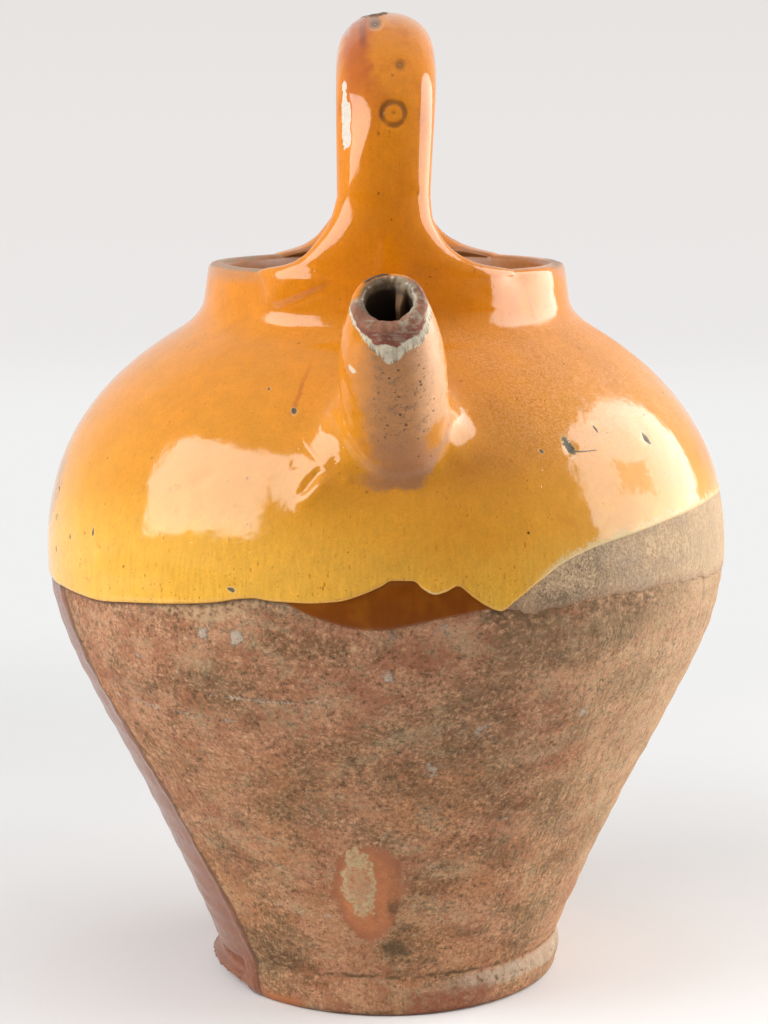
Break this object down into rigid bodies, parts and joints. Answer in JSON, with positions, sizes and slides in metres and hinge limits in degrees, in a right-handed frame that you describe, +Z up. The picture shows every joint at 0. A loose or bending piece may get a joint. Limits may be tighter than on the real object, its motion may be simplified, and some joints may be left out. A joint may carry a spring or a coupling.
{
  "type": "terracotta water jug",
  "caption": "Round-bellied terracotta water jug, half glazed, with a low collar, an arched strap handle over the mouth and an upturned pouring spout on the shoulder.",
  "frame": {"origin": "centre of the flat underside, on the axis that the pot was thrown on, at the level that it stands on", "axes": "+Z up along the throwing axis, -Y towards the spout, +X to the right when the spout faces the viewer"},
  "size_m": [0.2494, 0.2722, 0.3519],
  "materials": {
    "bare_terracotta": "bare fired clay, stained and mottled",
    "honey_glaze": "glossy honey lead-type glaze over pale slip",
    "amber_glaze": "thin dark amber glaze over bare clay",
    "deep_glaze": "glossy orange-brown glaze",
    "spout_glaze": "worn satin peach glaze, chipped at the lip",
    "pale_slip": "dry grainy pale slip"
  },
  "bodies": {
    "root": {"body": "bare_terracotta", "collar": "deep_glaze", "handle": "deep_glaze", "handle_front_root": "deep_glaze", "handle_back_root": "deep_glaze", "spout": "spout_glaze", "spout_luting_coil": "honey_glaze", "glaze_coat": "honey_glaze", "amber_glaze_lap": "amber_glaze", "slip_band": "pale_slip"}
  },
  "joints": []
}
